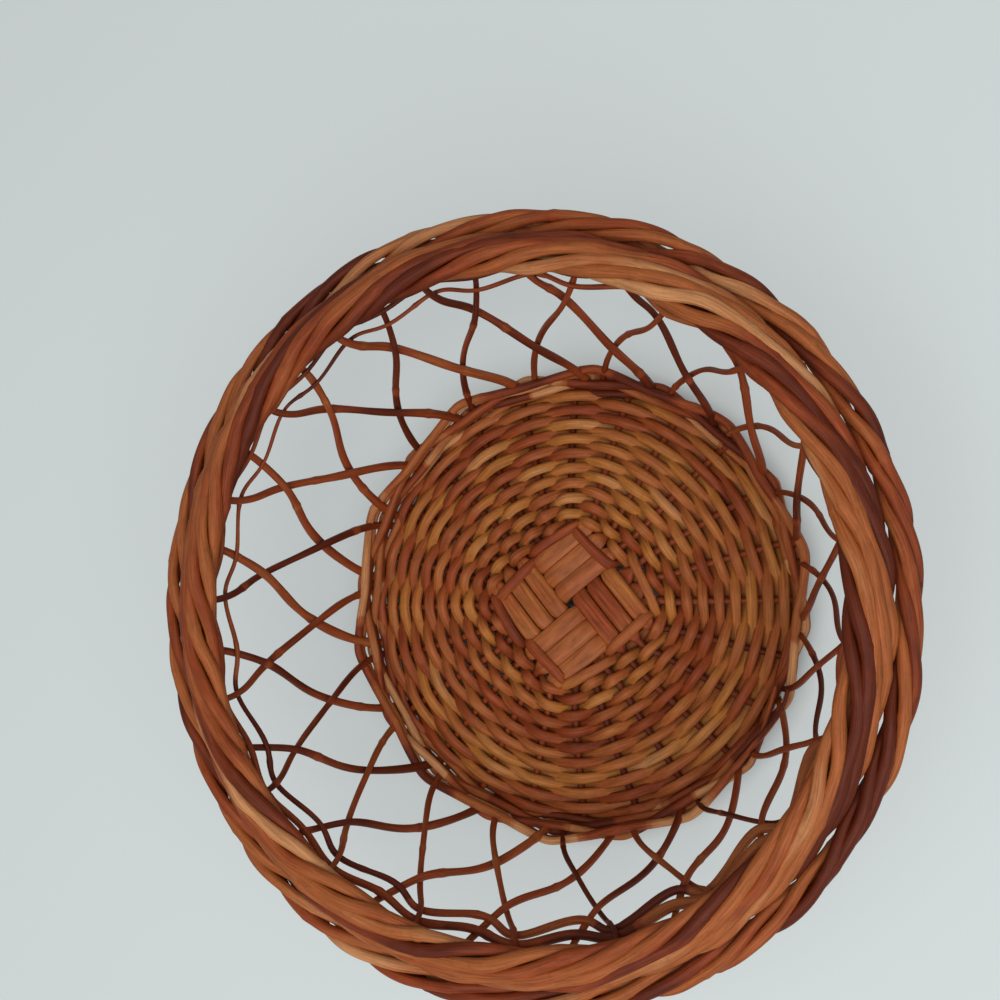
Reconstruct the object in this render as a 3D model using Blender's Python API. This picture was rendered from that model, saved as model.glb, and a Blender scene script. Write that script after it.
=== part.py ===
"""A round openwork willow basket for onions: a woven base, a wall of crossing stakes and a rope border.

Metres, +Z up. The origin lies at the middle of the base, on the surface that the basket stands on.
Angles are counter-clockwise seen from above.
"""

import math

import bmesh
import bpy
from mathutils import Matrix, Vector

# Play between two rods that touch, and how far a cut overruns.
CLEARANCE = 0.0003

# Stakes: the wall's rods, in pairs at the foot, one of each pair leaning each way.
WALL_TURN = math.radians(-6.6)
STAKE_PAIR_COUNT = 20
STAKE_RADIUS = 0.0014
STAKE_TIP_RADIUS = 0.0011
STAKE_RING_LEVEL = 0.0040
STAKE_ROOT_GRIP = 0.0052
STAKE_FLAT_DEPTH = 0.0004
STAKE_SWAY = 0.0017
STAKE_SWAY_POWER = 1.4
WALL_FLARE_SHARE = 0.16
LEAN_EASE_SHARE = 0.8
LEAN_STEP_COUNT = 3
WALL_STATION_SHARES = (0.0, 0.14, 0.29, 0.44, 0.60, 0.76, 0.92)

# Border: five rods laid round each other like a rope.
RIM_RADIUS = 0.1150
BORDER_LEVEL = 0.0780
BORDER_ROD_COUNT = 5
BORDER_TURN_COUNT = 8
BORDER_TURN_POINT_COUNT = 8
BORDER_ROD_RADIUS = 0.0024
BORDER_WIDTH = 0.0185
BORDER_DEPTH = 0.0150
BORDER_SEAT = math.radians(235)

# Fitch: a thin rod woven round the stakes under the border.
FITCH_LEVEL = 0.0648
FITCH_ROD_RADIUS = 0.0010
FITCH_ROUND_STEP = 0.0038
FITCH_ROUND_COUNT = 2

# Upsett: a folded rod chased round the pairs of stakes where they leave the base.
UPSETT_ROD_RADIUS = 0.0013
UPSETT_LEVEL = 0.0052
UPSETT_ROUND_COUNT = 2
UPSETT_FOLD_SHARES = (0.22, 0.78)

# Base: six flat sticks through six round ones in threes, with a weaver laid round them in rounds.
CROSS_TURN = math.radians(36)
BUNDLE_STICK_COUNT = 3
BUNDLE_END_COUNT = 8
BUNDLE_PITCH = 0.0204
STICK_PITCH = 0.0056
FLAT_STICK_WIDTH = 0.0052
FLAT_STICK_THICKNESS = 0.0019
ROUND_STICK_WIDTH = 0.0048
ROUND_STICK_THICKNESS = 0.0030
SPOKE_RADIUS = 0.0011
SPOKE_PITCH = 2.0 * math.pi / (BUNDLE_END_COUNT * BUNDLE_STICK_COUNT)
STICK_STATION_SHARES = (0.06, 0.30, 0.62, 1.0)
FAN_START_RADIUS = 0.0214
FAN_END_RADIUS = 0.0336
BASE_DOME = 0.0100
BASE_EDGE_RADIUS = 0.0670
WEAVER_RADIUS = 0.0010
WEAVER_PITCH = 0.0026
FIRST_ROUND_DISTANCE = 0.0218
BASE_ROUND_COUNT = 14
BUNDLE_ROUND_COUNT = 2
BUNDLE_OVERHANG_SHARE = 0.8
SQUARE_ROUND_COUNT = 8

PROFILE_SIDE_COUNT = 5
SHARP_ANGLE = math.radians(80)


def clear_scene():
    for thing in list(bpy.data.objects):
        bpy.data.objects.remove(thing, do_unlink=True)


def material(name, colour, roughness):
    surface = bpy.data.materials.new(name)
    surface.use_nodes = True
    shader = surface.node_tree.nodes["Principled BSDF"]
    shader.inputs["Base Color"].default_value = (*colour, 1.0)
    shader.inputs["Roughness"].default_value = roughness
    shader.inputs["Metallic"].default_value = 0.0
    return surface


def polar(radius, angle, height):
    return Vector((radius * math.cos(angle), radius * math.sin(angle), height))


def ease(share):
    share = min(max(share, 0.0), 1.0)
    return share * share * (3.0 - 2.0 * share)


def mix(start, end, share):
    return start + (end - start) * share


def swing(reach, spacing):
    """How far a woven rod swings to each side, so that its slanting stretches too keep the reach."""
    return reach / math.sqrt(1.0 - (2.0 * reach / spacing) ** 2)


def rod_section():
    """The unit outline that every rod carries along its path, scaled there by the rod's radius."""
    outline = bpy.data.curves.new("rod_section", "CURVE")
    outline.dimensions = "2D"
    spline = outline.splines.new("POLY")
    spline.points.add(PROFILE_SIDE_COUNT - 1)
    for index, point in enumerate(spline.points):
        turn = 2.0 * math.pi * index / PROFILE_SIDE_COUNT
        point.co = (math.cos(turn), math.sin(turn), 0.0, 1.0)
    spline.use_cyclic_u = True
    guide = bpy.data.objects.new("rod_section", outline)
    guide.hide_render = True
    guide.display_type = "WIRE"
    bpy.context.collection.objects.link(guide)
    return guide


def rod_mesh(name, points, radii, section, closed=False):
    """A rod as a closed mesh, swept along the points with a radius at each."""
    path = bpy.data.curves.new(name, "CURVE")
    path.dimensions = "3D"
    path.twist_mode = "MINIMUM"
    path.bevel_mode = "OBJECT"
    path.bevel_object = section
    path.use_fill_caps = not closed
    spline = path.splines.new("POLY")
    spline.points.add(len(points) - 1)
    for knot, point, radius in zip(spline.points, points, radii):
        knot.co = (*point, 1.0)
        knot.radius = radius
    spline.use_cyclic_u = closed
    carrier = bpy.data.objects.new(name, path)
    bpy.context.collection.objects.link(carrier)
    bpy.context.view_layer.update()
    evaluated = carrier.evaluated_get(bpy.context.evaluated_depsgraph_get())
    mesh = bpy.data.meshes.new_from_object(evaluated)
    bpy.data.objects.remove(carrier, do_unlink=True)
    shape = bmesh.new()
    shape.from_mesh(mesh)
    bmesh.ops.remove_doubles(shape, verts=shape.verts, dist=CLEARANCE / 10.0)
    bmesh.ops.recalc_face_normals(shape, faces=shape.faces)
    shape.to_mesh(mesh)
    shape.free()
    mesh.name = name
    return mesh


def cut_flat(mesh, level):
    """Takes away what lies under the level and closes the cut."""
    shape = bmesh.new()
    shape.from_mesh(mesh)
    everything = shape.verts[:] + shape.edges[:] + shape.faces[:]
    cut = bmesh.ops.bisect_plane(
        shape, geom=everything, dist=CLEARANCE / 100.0,
        plane_co=(0.0, 0.0, level), plane_no=(0.0, 0.0, 1.0), clear_inner=True)
    rim = [item for item in cut["geom_cut"] if isinstance(item, bmesh.types.BMEdge)]
    bmesh.ops.contextual_create(shape, geom=rim)
    bmesh.ops.recalc_face_normals(shape, faces=shape.faces)
    shape.to_mesh(mesh)
    shape.free()


def place(name, mesh, surface, turn=0.0):
    if not mesh.materials:
        mesh.materials.append(surface)
    mesh.shade_smooth()
    mesh.set_sharp_from_angle(angle=SHARP_ANGLE)
    piece = bpy.data.objects.new(name, mesh)
    piece.rotation_euler = (0.0, 0.0, turn)
    bpy.context.collection.objects.link(piece)
    return piece


# The wall that the stakes follow.

def border_half_width():
    return BORDER_WIDTH / 2.0 - BORDER_ROD_RADIUS


def border_half_depth():
    return BORDER_DEPTH / 2.0 - BORDER_ROD_RADIUS


def border_ring_radius():
    return RIM_RADIUS - BORDER_WIDTH / 2.0


def stake_end():
    """Where a stake's top meets the underside of a border rod: radius, height and its direction there."""
    facing = Vector((math.cos(BORDER_SEAT), math.sin(BORDER_SEAT)))
    centre = Vector((
        border_ring_radius() + border_half_width() * facing.x,
        BORDER_LEVEL + border_half_depth() * facing.y))
    return centre + facing * (BORDER_ROD_RADIUS + CLEARANCE), facing


def stake_foot_radius():
    """The radius at which the stakes rise: the upsett passes between them and the base's edge."""
    return BASE_EDGE_RADIUS + CLEARANCE + 2.0 * UPSETT_ROD_RADIUS + CLEARANCE + STAKE_RADIUS


def flare_share(level):
    """How much of its way outwards the wall has gone at a height."""
    top, _ = stake_end()
    share = (level - STAKE_RING_LEVEL) / (top.y - STAKE_RING_LEVEL)
    return mix(share, share * share, WALL_FLARE_SHARE)


def wall_radius(level):
    """The radius of the wall's middle at a height."""
    top, _ = stake_end()
    return mix(stake_foot_radius(), top.x, flare_share(level))


def lean_share(level):
    """How much of its lean a stake has taken at a height."""
    share = flare_share(level)
    return mix(share, ease(share), LEAN_EASE_SHARE)


def family_shift():
    """The angle from a left stake to the right one after it, whose root lies beside the next left one's."""
    beside = (2.0 * STAKE_RADIUS + CLEARANCE) / (BASE_EDGE_RADIUS - STAKE_ROOT_GRIP)
    return 2.0 * math.pi / STAKE_PAIR_COUNT - beside


def wall_lean():
    """The angle that a stake leans through, so that the tops of both families meet the border's rods."""
    return (family_shift() + LEAN_STEP_COUNT * math.pi / STAKE_PAIR_COUNT) / 2.0


def stake_angle(family, level):
    """The angle of the first stake of a family, 1 leaning one way and -1 the other, at a height."""
    start = WALL_TURN if family > 0 else WALL_TURN + family_shift()
    return start + family * wall_lean() * lean_share(level)


def stake_radius(level):
    top, _ = stake_end()
    return mix(STAKE_RADIUS, STAKE_TIP_RADIUS, (level - STAKE_RING_LEVEL) / (top.y - STAKE_RING_LEVEL))


def stake_ring_radius(family, level):
    """The distance of a stake's middle from the axis: each family sways inside the other in turn."""
    turn = 2.0 * math.pi * max(lean_share(level), 0.0) ** STAKE_SWAY_POWER
    return wall_radius(level) - STAKE_SWAY * math.sin(turn) * family


def stake_points(family):
    """A stake's path: a root under the base's edge, the bend, the leaning wall and the end at the border."""
    top, facing = stake_end()
    floor = STAKE_RADIUS - STAKE_FLAT_DEPTH
    start = stake_angle(family, STAKE_RING_LEVEL)
    bend = STAKE_RING_LEVEL - floor
    points = [
        polar(BASE_EDGE_RADIUS - STAKE_ROOT_GRIP, start, floor),
        polar(stake_foot_radius() - bend, start, floor),
    ]
    radii = [STAKE_RADIUS] * len(points)
    for share in WALL_STATION_SHARES:
        level = mix(STAKE_RING_LEVEL, top.y, share)
        points.append(polar(stake_ring_radius(family, level), stake_angle(family, level), level))
        radii.append(stake_radius(level))
    points.append(polar(top.x, stake_angle(family, top.y), top.y))
    radii.append(STAKE_TIP_RADIUS)
    return points, radii


def add_stakes(section, surface):
    step = 2.0 * math.pi / STAKE_PAIR_COUNT
    for family, side in ((1, "left"), (-1, "right")):
        points, radii = stake_points(family)
        mesh = rod_mesh("stake_" + side, points, radii, section)
        cut_flat(mesh, 0.0)
        for index in range(STAKE_PAIR_COUNT):
            place(f"stake_{side}_{index + 1:02d}", mesh, surface, index * step)


# The rods woven round the stakes.

def stake_reach(level, rod_radius, gap):
    """How far from a stake's middle a rod's middle passes it at a height, where it changes sides in a gap."""
    slope = wall_radius(level + rod_radius) - wall_radius(level - rod_radius)
    tilt = math.cos(math.atan2(slope, 2.0 * rod_radius))
    return swing((stake_radius(level) + rod_radius + CLEARANCE) / tilt, gap * wall_radius(level))


def fitch_points():
    """A rod that goes inside one stake and outside the next, climbs after a round and ends a stake short."""
    step = 2.0 * math.pi / STAKE_PAIR_COUNT
    stakes = 2 * STAKE_PAIR_COUNT
    crossed = (LEAN_STEP_COUNT + 1) // 2
    points = []
    for number in range(FITCH_ROUND_COUNT * stakes - 1):
        climbed, place_in = divmod(number, stakes)
        if place_in == stakes - 1:
            climbed += 1.0 / 2.0
        level = FITCH_LEVEL + climbed * FITCH_ROUND_STEP
        index, second = divmod(place_in, 2)
        family = -1 if second else 1
        angle = stake_angle(family, level) + (index + second * crossed) * step
        reach = family * stake_reach(level, FITCH_ROD_RADIUS, step / 2.0)
        points.append(polar(stake_ring_radius(family, level) + reach, angle, level))
    return points


def upsett_half(strand):
    """One half of the folded upsett, 0 for the lower one and 1 for the upper: in and out of the pairs.

    The halves lie a rod apart in height. Both climb past each other's round in the last gap.
    """
    step = 2.0 * math.pi / STAKE_PAIR_COUNT
    points = []
    for number in range(UPSETT_ROUND_COUNT * STAKE_PAIR_COUNT - 1):
        turn, pair = divmod(number, STAKE_PAIR_COUNT)
        climbed = 2 * turn + strand
        if pair == STAKE_PAIR_COUNT - 1:
            climbed += 1
        level = UPSETT_LEVEL + climbed * (2.0 * UPSETT_ROD_RADIUS + CLEARANCE)
        side = 1.0 if (pair + strand) % 2 else -1.0
        reach = side * stake_reach(level, UPSETT_ROD_RADIUS, family_shift())
        for family, index in ((-1, pair), (1, pair + 1)):
            angle = stake_angle(family, level) + index * step
            points.append(polar(stake_ring_radius(family, level) + reach, angle, level))
    return points


def upsett_points():
    """The folded rod: one half backwards, the fold round the first pair's right stake and the other half."""
    lower = upsett_half(0)
    upper = upsett_half(1)
    reach = STAKE_RADIUS + UPSETT_ROD_RADIUS + 3.0 * CLEARANCE
    turn = Matrix.Rotation(-reach / stake_foot_radius(), 3, "Z")
    fold = [turn @ lower[0].lerp(upper[0], share) for share in UPSETT_FOLD_SHARES]
    return list(reversed(lower)) + fold + upper


def add_ring(name, points, rod_radius, section, surface):
    place(name, rod_mesh(name, points, [rod_radius] * len(points), section), surface)


# The border.

def border_points():
    points = []
    count = BORDER_TURN_COUNT * BORDER_TURN_POINT_COUNT
    for index in range(count):
        angle = 2.0 * math.pi * index / count
        phase = BORDER_TURN_COUNT * angle
        radius = border_ring_radius() + border_half_width() * math.cos(phase)
        height = BORDER_LEVEL + border_half_depth() * math.sin(phase)
        points.append(polar(radius, angle, height))
    return points


def add_border(section, surface):
    points = border_points()
    mesh = rod_mesh("border_rod", points, [BORDER_ROD_RADIUS] * len(points), section, closed=True)
    pitch = math.pi / STAKE_PAIR_COUNT
    top, _ = stake_end()
    seat = stake_angle(1, top.y) - BORDER_SEAT / BORDER_TURN_COUNT
    for index in range(BORDER_ROD_COUNT):
        place(f"border_rod_{index + 1}", mesh, surface, seat + index * pitch)


# The base.

def weaver_swing(spacing):
    """How far a weaver's middle swings up and down to clear the spokes at this spacing."""
    return swing(SPOKE_RADIUS + WEAVER_RADIUS + CLEARANCE, spacing)


def base_edge_level():
    """The height of the base's edge, where the weave's last round rests on the stakes' roots."""
    root_top = 2.0 * STAKE_RADIUS - STAKE_FLAT_DEPTH
    return root_top + CLEARANCE + WEAVER_RADIUS + weaver_swing(SPOKE_PITCH * BASE_EDGE_RADIUS)


def base_level(radius):
    """The height of the domed base's middle at a distance from the centre."""
    return base_edge_level() + BASE_DOME * (1.0 - (radius / BASE_EDGE_RADIUS) ** 2)


def cross_lift():
    """How far a stick's middle lies above or under the dome where it crosses the others."""
    return (FLAT_STICK_THICKNESS + ROUND_STICK_THICKNESS) / 4.0 + CLEARANCE


def stick_offset(index):
    """How far a stick of a bundle lies from the middle of the cross."""
    return BUNDLE_PITCH / 2.0 + (index - (BUNDLE_STICK_COUNT - 1) / 2.0) * STICK_PITCH


def stick_angle(index, radius):
    """The angle between a stick and its bundle's direction: side by side at the cross, fanned outside it."""
    straight = math.asin(min(stick_offset(index) / radius, 1.0))
    fanned = (index + 0.5) * SPOKE_PITCH
    return mix(straight, fanned, ease((radius - FAN_START_RADIUS) / (FAN_END_RADIUS - FAN_START_RADIUS)))


def stick_stations(index, lift):
    """One half of a stick from the middle of the cross outwards: along, across, height and opening."""
    gap = BUNDLE_PITCH - BUNDLE_STICK_COUNT * STICK_PITCH
    edge = BUNDLE_PITCH - gap / 2.0
    offset = stick_offset(index)
    stations = []
    for along in (gap / 2.0, edge):
        stations.append((along, offset, base_level(math.hypot(along, offset)) + lift, 0.0))
    start = math.hypot(edge, offset)
    for share in STICK_STATION_SHARES:
        radius = mix(start, BASE_EDGE_RADIUS, share)
        angle = stick_angle(index, radius)
        stations.append((radius * math.cos(angle), radius * math.sin(angle), base_level(radius), 1.0))
    return stations


def laid(point, bundle, flat):
    """A point of a stick moved to its bundle's side, along the flat sticks or across them."""
    sideways = point.y * bundle
    return Vector((point.x, sideways, point.z)) if flat else Vector((sideways, point.x, point.z))


def stick_mesh(name, index, bundle, flat):
    """A base stick: broad where it crosses the others, over one bundle and under the next, with rod ends."""
    width = FLAT_STICK_WIDTH if flat else ROUND_STICK_WIDTH
    thickness = FLAT_STICK_THICKNESS if flat else ROUND_STICK_THICKNESS
    lift = cross_lift() * bundle * (1.0 if flat else -1.0)
    far = stick_stations(index, lift)
    near = [(-along, across, height, opening)
            for along, across, height, opening in stick_stations(index, -lift)]
    shape = bmesh.new()
    rings = []
    for along, across, height, opening in list(reversed(near)) + far:
        half_width = mix(width / 2.0, SPOKE_RADIUS, opening)
        half_thickness = mix(thickness / 2.0, SPOKE_RADIUS, opening)
        shoulder = max(half_width - half_thickness, half_width / 2.0)
        outline = (
            (half_width, 0.0), (shoulder, half_thickness), (-shoulder, half_thickness),
            (-half_width, 0.0), (-shoulder, -half_thickness), (shoulder, -half_thickness))
        heading = math.atan2(across, along) if opening else 0.0
        if opening and along < 0.0:
            heading -= math.pi
        side = Vector((-math.sin(heading), math.cos(heading), 0.0))
        centre = Vector((along, across, height))
        rings.append([centre + side * out + Vector((0.0, 0.0, up)) for out, up in outline])
    loops = [[shape.verts.new(laid(point, bundle, flat)) for point in ring] for ring in rings]
    for loop, following in zip(loops, loops[1:]):
        for corner in range(len(loop)):
            after = (corner + 1) % len(loop)
            shape.faces.new((loop[corner], following[corner], following[after], loop[after]))
    shape.faces.new(loops[0])
    shape.faces.new(loops[-1])
    bmesh.ops.recalc_face_normals(shape, faces=shape.faces)
    mesh = bpy.data.meshes.new(name)
    shape.to_mesh(mesh)
    shape.free()
    return mesh


def add_sticks(flat_surface, round_surface):
    for kind, surface in (("flat", flat_surface), ("round", round_surface)):
        number = 0
        for bundle in (1.0, -1.0):
            for index in range(BUNDLE_STICK_COUNT):
                number += 1
                name = f"base_{kind}_stick_{number}"
                place(name, stick_mesh(name, index, bundle, kind == "flat"), surface, CROSS_TURN)


def spoke_angle(number, radius):
    """The angle of a spoke, counted round the base from the flat sticks' direction."""
    per_arm = 2 * BUNDLE_STICK_COUNT
    quarter, place_in = divmod(number, per_arm)
    if place_in < BUNDLE_STICK_COUNT:
        return quarter * math.pi / 2.0 + stick_angle(place_in, radius)
    return (quarter + 1) * math.pi / 2.0 - stick_angle(per_arm - 1 - place_in, radius)


def round_radius(angle, rounds):
    """The distance of the weaver from the centre: square about the cross at first, round further out."""
    quarter = math.pi / 2.0
    folded = (angle + quarter / 2.0) % quarter - quarter / 2.0
    grown = rounds * WEAVER_PITCH
    square = (FIRST_ROUND_DISTANCE + grown) / math.cos(folded)
    circle = BASE_EDGE_RADIUS - WEAVER_RADIUS - BASE_ROUND_COUNT * WEAVER_PITCH + grown
    return mix(square, circle, min(rounds / SQUARE_ROUND_COUNT, 1.0))


def spoke_station(number, rounds):
    """Where a weaver passes a spoke: its angle, its distance from the centre and the spokes' spacing."""
    angle = (number + 0.5) * SPOKE_PITCH
    for _ in range(BUNDLE_STICK_COUNT):
        radius = round_radius(angle, rounds)
        angle = spoke_angle(number, radius)
    if number % BUNDLE_STICK_COUNT == BUNDLE_STICK_COUNT - 1:
        neighbour = spoke_angle(number - 1, radius)
    else:
        neighbour = spoke_angle(number + 1, radius)
    return angle, radius, abs(neighbour - angle) * radius


def bundle_turn(first, side):
    """One turn about the cross, over one bundle and under the next."""
    points = []
    lift = (ROUND_STICK_THICKNESS + CLEARANCE) / 2.0 + WEAVER_RADIUS + CLEARANCE
    for bundle in range(BUNDLE_END_COUNT):
        up = side if bundle % 2 == 0 else -side
        for number in (bundle * BUNDLE_STICK_COUNT, bundle * BUNDLE_STICK_COUNT + BUNDLE_STICK_COUNT - 1):
            rounds = first + 2.0 * number / (BUNDLE_END_COUNT * BUNDLE_STICK_COUNT)
            angle, radius, _ = spoke_station(number, rounds)
            overhang = SPOKE_RADIUS * BUNDLE_OVERHANG_SHARE / radius
            angle += overhang if number % BUNDLE_STICK_COUNT else -overhang
            points.append(polar(radius, angle, base_level(radius) + up * lift))
    return points


def spoke_turn(first, side):
    """One turn over one spoke and under the next."""
    spokes = BUNDLE_END_COUNT * BUNDLE_STICK_COUNT
    points = []
    for number in range(spokes):
        rounds = first + 2.0 * number / spokes
        if rounds > BASE_ROUND_COUNT:
            break
        angle, radius, spacing = spoke_station(number, rounds)
        up = side if number % 2 == 0 else -side
        points.append(polar(radius, angle, base_level(radius) + up * weaver_swing(spacing)))
    return points


def weaver_half(strand):
    """One half of the folded weaver, 0 for the inner one and 1 for the outer."""
    side = 1.0 if strand == 0 else -1.0
    points = []
    for first in range(strand, BASE_ROUND_COUNT, 2):
        turn = bundle_turn if first < BUNDLE_ROUND_COUNT else spoke_turn
        points += turn(first, side)
    return points


def add_weaver(section, surface):
    """One long rod folded in half at the cross, whose halves chase each other out to the base's edge."""
    inner = weaver_half(0)
    outer = weaver_half(1)
    turn = Matrix.Rotation(-SPOKE_PITCH / 2.0, 3, "Z")
    fold = turn @ ((inner[0] + outer[0]) / 2.0)
    points = list(reversed(inner)) + [fold] + outer
    mesh = rod_mesh("base_weaver", points, [WEAVER_RADIUS] * len(points), section)
    place("base_weaver", mesh, surface, CROSS_TURN)


def main():
    clear_scene()
    section = rod_section()
    stake_brown = material("stake_willow", (0.16, 0.055, 0.022), 0.45)
    border_brown = material("border_willow", (0.27, 0.095, 0.038), 0.42)
    weaver_brown = material("weaver_willow", (0.30, 0.12, 0.045), 0.48)
    slat_brown = material("slat_willow", (0.34, 0.13, 0.06), 0.40)
    add_sticks(slat_brown, weaver_brown)
    add_weaver(section, weaver_brown)
    add_stakes(section, stake_brown)
    add_ring("upsett_rod", upsett_points(), UPSETT_ROD_RADIUS, section, border_brown)
    add_ring("fitch_rod", fitch_points(), FITCH_ROD_RADIUS, section, weaver_brown)
    add_border(section, border_brown)


main()
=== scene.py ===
"""The looks of a round openwork willow basket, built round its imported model.

The base is woven on twelve sticks, the wall is forty crossing stakes that an upsett and a fitch hold in
place, and the border is two ropes side by side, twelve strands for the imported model's five rods.
Metres, +Z up. Angles are counter-clockwise seen from above.
"""

import math
import random

import bpy
import numpy as np
from mathutils import Matrix, Vector, noise


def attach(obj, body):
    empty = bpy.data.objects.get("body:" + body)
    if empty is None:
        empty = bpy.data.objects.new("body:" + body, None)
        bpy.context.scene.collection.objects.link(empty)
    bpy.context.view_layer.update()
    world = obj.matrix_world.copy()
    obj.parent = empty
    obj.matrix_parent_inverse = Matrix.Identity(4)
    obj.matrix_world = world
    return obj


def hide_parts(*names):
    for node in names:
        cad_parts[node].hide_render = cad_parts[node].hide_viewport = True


bl_info = {
    "name": "Onion Basket",
    "version": (1, 0, 0),
    "blender": (4, 5, 0),
    "location": "3D View > Sidebar > Basket",
    "description": "Willow rods, split sticks and a plain stage for a round openwork basket",
    "category": "Object",
}

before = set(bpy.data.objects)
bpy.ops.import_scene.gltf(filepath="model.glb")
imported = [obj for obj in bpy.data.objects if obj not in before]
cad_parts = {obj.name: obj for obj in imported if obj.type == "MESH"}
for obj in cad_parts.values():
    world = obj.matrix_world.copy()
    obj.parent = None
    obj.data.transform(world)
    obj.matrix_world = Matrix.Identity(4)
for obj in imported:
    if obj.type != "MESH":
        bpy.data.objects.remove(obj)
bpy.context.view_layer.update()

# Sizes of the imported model's rods, in metres, and their counts.
CLEARANCE = 0.0003
WALL_TURN = math.radians(-6.6)
STAKE_PAIR_COUNT = 20
STAKE_STEP = 2.0 * math.pi / STAKE_PAIR_COUNT
STAKE_RADIUS = 0.0014
STAKE_TIP_RADIUS = 0.0011
STAKE_RING_LEVEL = 0.0040
STAKE_ROOT_GRIP = 0.0052
STAKE_FLAT_DEPTH = 0.0004
STAKE_SWAY = 0.0017
STAKE_SWAY_POWER = 1.4
WALL_FLARE_SHARE = 0.16
LEAN_EASE_SHARE = 0.8
LEAN_STEP_COUNT = 3
RIM_RADIUS = 0.1150
BORDER_LEVEL = 0.0780
BORDER_ROD_COUNT = 5
BORDER_ROD_RADIUS = 0.0024
BORDER_WIDTH = 0.0185
BORDER_DEPTH = 0.0150
BORDER_SEAT = math.radians(235)
FITCH_ROD_RADIUS = 0.0010
FITCH_ROUND_COUNT = 2
UPSETT_ROD_RADIUS = 0.0013
UPSETT_LEVEL = 0.0052
UPSETT_ROUND_COUNT = 2
UPSETT_FOLD_SHARES = (0.22, 0.78)
CROSS_TURN = math.radians(36)
BUNDLE_STICK_COUNT = 3
BUNDLE_END_COUNT = 8
BUNDLE_PITCH = 0.0204
FLAT_STICK_THICKNESS = 0.0019
ROUND_STICK_THICKNESS = 0.0030
SPOKE_RADIUS = 0.0011
SPOKE_COUNT = BUNDLE_END_COUNT * BUNDLE_STICK_COUNT
SPOKE_PITCH = 2.0 * math.pi / SPOKE_COUNT
FAN_START_RADIUS = 0.0214
FAN_END_RADIUS = 0.0336
BASE_DOME = 0.0100
BASE_EDGE_RADIUS = 0.0670
WEAVER_RADIUS = 0.0010
BUNDLE_ROUND_COUNT = 2
BUNDLE_OVERHANG_SHARE = 0.8

# How far a stake gives way to the fitch, and over which part of its height.
FITCH_FLEX = 0.0011
FITCH_FLEX_START_SHARE = 0.74
FITCH_FLEX_FULL_SHARE = 0.90

# The weave as it looks from above: its first turns hug the cross and carry painted shade near it, and all its
# rounds touch.
WEAVE_ROUND_COUNT = 20
WEAVE_START_DISTANCE = 0.0178
WEAVE_HUG_POWER = 2.4
WEAVE_HUG_TURNS = 2.2
WEAVE_END_RADIUS = 0.0712
WEAVE_SQUARENESS = 9.0
WEAVE_SHADE_REACH = 0.014
WEAVE_SHADE = 0.5
WEAVE_MEAN_TONE = 0.52
WEAVE_TONE_SPREAD = 0.42
STICK_END_RADIUS = 0.0700
STICK_PITCH = 0.0060
STICK_FADE_SHARE = 0.08
STICK_GROOVE = 0.9
SLAT_CORNER_POWER = 0.5
SPOKE_TONE = 0.1

# The border as it looks: two flat ropes side by side that lean outwards and down within the imported border's
# box, a broad one of long strokes inside and a narrow one of short scallops outside. The ring is a little
# oval, and its rods carry painted light on two opposite sides and painted shade between them.
BORDER_TILT = math.radians(34)
BORDER_VISIBLE_LEVEL = 0.0767
INNER_STRAND_COUNT = 8
INNER_TURN_COUNT = 5
INNER_OFFSET = -0.0060
INNER_HALF_WIDTH = 0.0056
INNER_HALF_DEPTH = 0.0033
INNER_SLOW_SHARE = 0.30
INNER_TURN_POINT_COUNT = 90
OUTER_STRAND_COUNT = 4
OUTER_TURN_COUNT = 10
OUTER_OFFSET = 0.0060
OUTER_HALF_WIDTH = 0.0025
OUTER_HALF_DEPTH = 0.0025
OUTER_SLOW_SHARE = 0.10
OUTER_TURN_POINT_COUNT = 50
BORDER_VISIBLE_SEAT = math.radians(0.7)
BORDER_GROWTH = 0.0008
BORDER_OVALNESS = 0.0012
BORDER_LONG_SIDE = math.radians(110)
BORDER_PAINTED_LIGHT_SIDE = math.radians(72)
BORDER_PAINTED_LIGHT_SWING = 0.20
BORDER_PAINTED_SHADE_SHIFT = 0.5
BORDER_STROKE_START = 0.28

# The stakes as they look: the sides on which the two families are stoutest, and their ends in the border.
LEFT_STOUT_SIDE = math.radians(105)
RIGHT_STOUT_SIDE = math.radians(195)
STAKE_VISIBLE_END = 0.0772
STAKE_POINT_COUNT = 29

# The fitch as it looks: two rows under the border that lean a little and swell away from the thin side.
FITCH_VISIBLE_LEVEL = 0.0634
FITCH_VISIBLE_STEP = 0.0050
FITCH_LEAN = 0.0034
FITCH_THIN_SIDE = math.radians(140)
FITCH_SWELL = 0.4
FITCH_SECOND_ROUND_SHARE = 1.2
FITCH_SOFTENING_COUNT = 14

# The upsett as it looks: two rods one over the other, of less swing, with tapered ends tucked behind a stake.
UPSETT_SWING_SHARE = 0.48
UPSETT_SOFTENING_COUNT = 12
UPSETT_SPREAD_SHARE = 0.46
UPSETT_TUCK_DEPTH = 0.0022
UPSETT_TUCK_POINT_COUNT = 18
UPSETT_TIP_SHARE = 0.4
UPSETT_TIP_POINT_COUNT = 30

# The lengths over which the rods wander from side to side.
WEAVER_WANDER_REACH = 0.006
RING_WANDER_REACH = 0.012
BORDER_WANDER_REACH = 0.016
STAKE_WANDER_REACH = 0.023

# How much the tones of whole rods differ.
SLAT_TONE_SPREAD = 0.08
STICK_TONE_SPREAD = 0.3
STAKE_TONE_SPREAD = 0.28
STAKE_KNOT_PALENESS = 0.5

# Where each piece's draws of chance start.
WEAVER_SEED = 31
LEFT_STAKE_SEED = 40
RIGHT_STAKE_SEED = 60
LOWER_UPSETT_SEED = 7
UPPER_UPSETT_SEED = 8
FITCH_SEED = 11
BORDER_SEED = 90

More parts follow.
